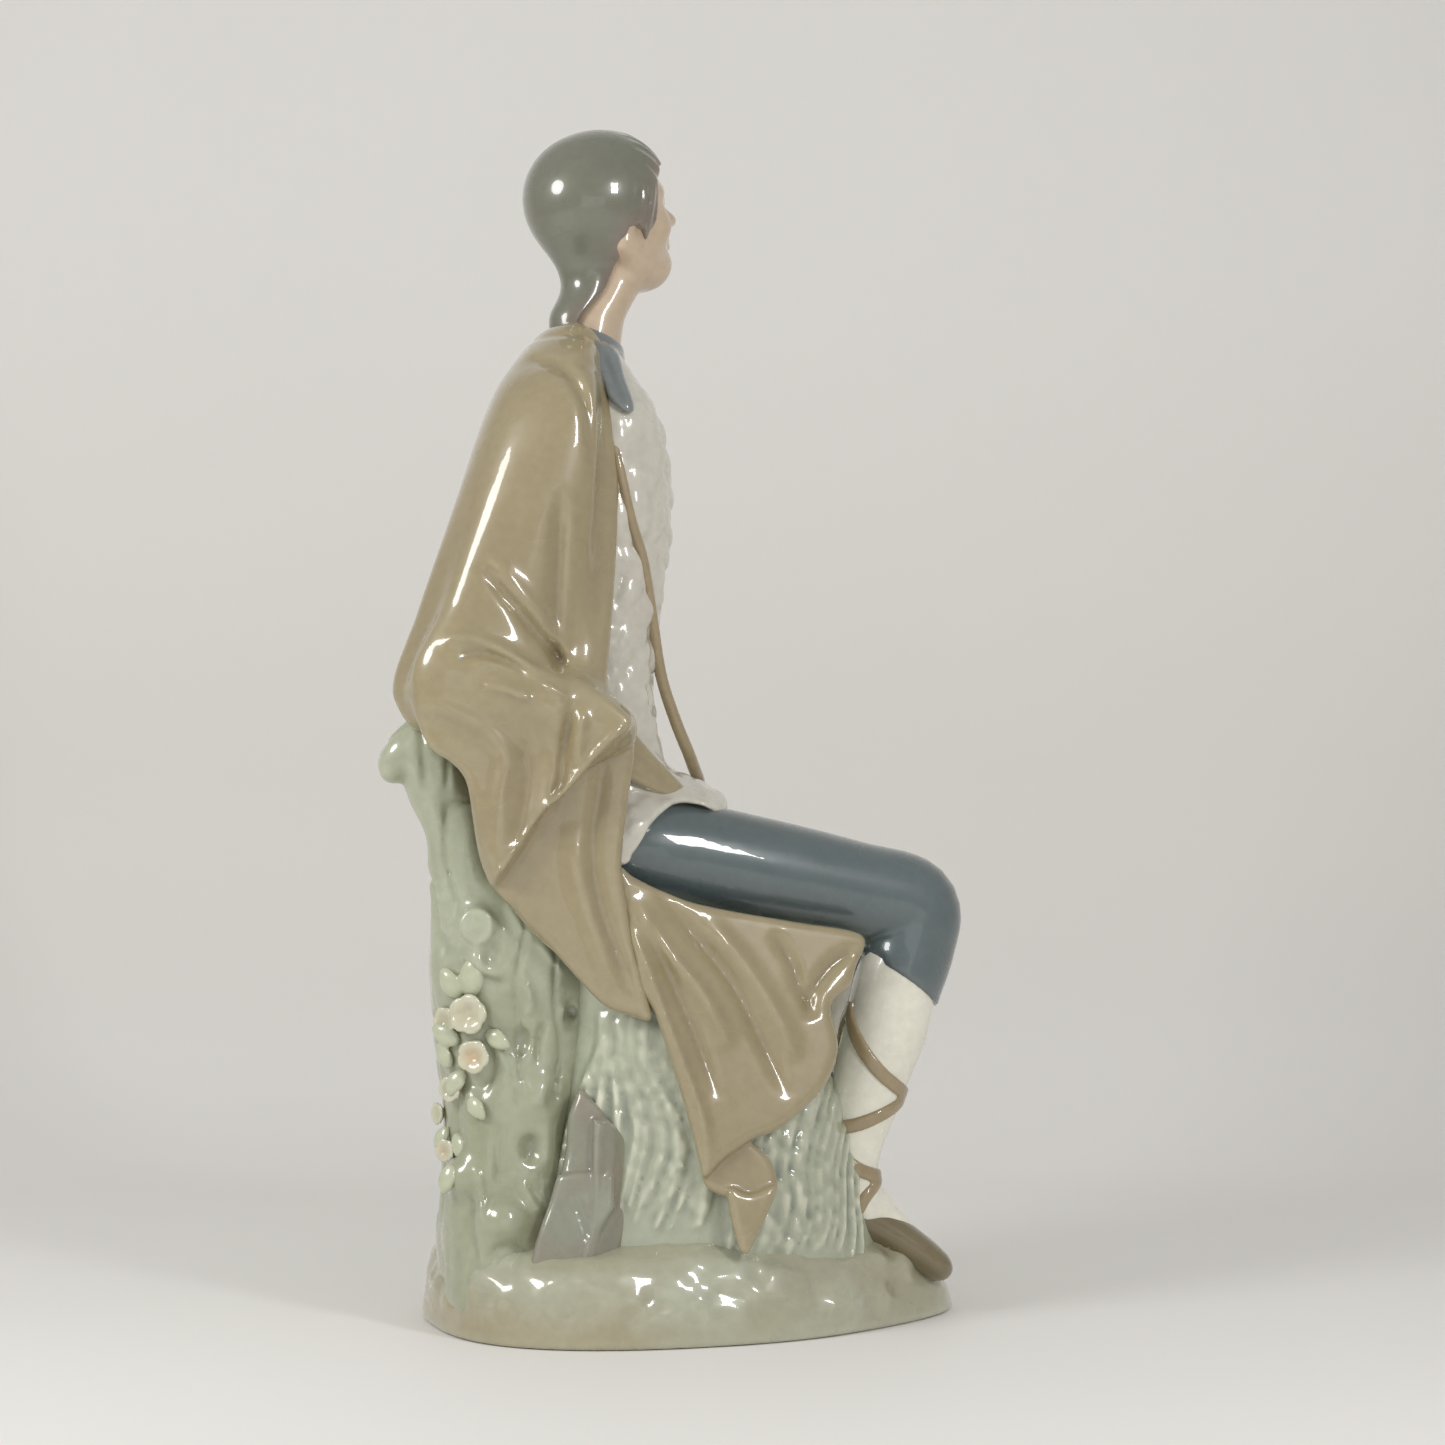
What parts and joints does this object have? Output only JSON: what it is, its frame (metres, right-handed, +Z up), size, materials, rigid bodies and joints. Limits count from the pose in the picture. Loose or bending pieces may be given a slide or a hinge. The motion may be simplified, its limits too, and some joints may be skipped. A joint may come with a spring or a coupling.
{
  "type": "porcelain figurine",
  "caption": "Glazed porcelain figurine of a seated shepherd boy in a long cloak, on a tree stump with a rounded base, for display on a shelf.",
  "frame": {"origin": "middle of the flat underside of the base", "axes": "+Z up, +X where the boy faces, +Y the boy's left"},
  "size_m": [0.1302, 0.0858, 0.2597],
  "materials": {
    "cloak_glaze": "clear gloss glaze over painted porcelain",
    "fleece_glaze": "clear gloss glaze over painted porcelain",
    "breeches_glaze": "clear gloss glaze over painted porcelain",
    "stocking_glaze": "clear gloss glaze over painted porcelain",
    "strap_glaze": "clear gloss glaze over painted porcelain",
    "shoe_glaze": "clear gloss glaze over painted porcelain",
    "shirt_glaze": "clear gloss glaze over painted porcelain",
    "skin_glaze": "clear gloss glaze over painted porcelain",
    "hair_glaze": "clear gloss glaze over painted porcelain",
    "bark_glaze": "clear gloss glaze over painted porcelain",
    "rock_glaze": "clear gloss glaze over painted porcelain",
    "ground_glaze": "clear gloss glaze over painted porcelain",
    "grass_glaze": "clear gloss glaze over painted porcelain",
    "leaf_glaze": "clear gloss glaze over painted porcelain",
    "petal_glaze": "clear gloss glaze over painted porcelain"
  },
  "bodies": {
    "root": {"cloak_back": "cloak_glaze", "cloak_sleeve": "cloak_glaze", "cloak_facing": "cloak_glaze", "cloak_drape": "cloak_glaze", "cloak_side_panel": "cloak_glaze", "cloak_tail": "cloak_glaze", "waist_sash": "cloak_glaze", "fleece_vest": "fleece_glaze", "vest_skirt": "fleece_glaze", "right_breeches": "breeches_glaze", "left_breeches": "breeches_glaze", "right_stocking": "stocking_glaze", "left_stocking": "stocking_glaze", "right_leg_straps": "strap_glaze", "left_leg_straps": "strap_glaze", "satchel_strap": "strap_glaze", "satchel": "strap_glaze", "satchel_flap": "strap_glaze", "right_shoe": "shoe_glaze", "left_shoe": "shoe_glaze", "shirt_collar": "shirt_glaze", "left_sleeve": "shirt_glaze", "head": "skin_glaze", "left_hand": "skin_glaze", "hair": "hair_glaze", "tree_trunk": "bark_glaze", "broken_limb": "bark_glaze", "sawn_knot": "bark_glaze", "rocks": "rock_glaze", "ground_base": "ground_glaze", "grass_bank": "grass_glaze", "sprig_leaves": "leaf_glaze", "sprig_blossoms": "petal_glaze"}
  },
  "joints": []
}
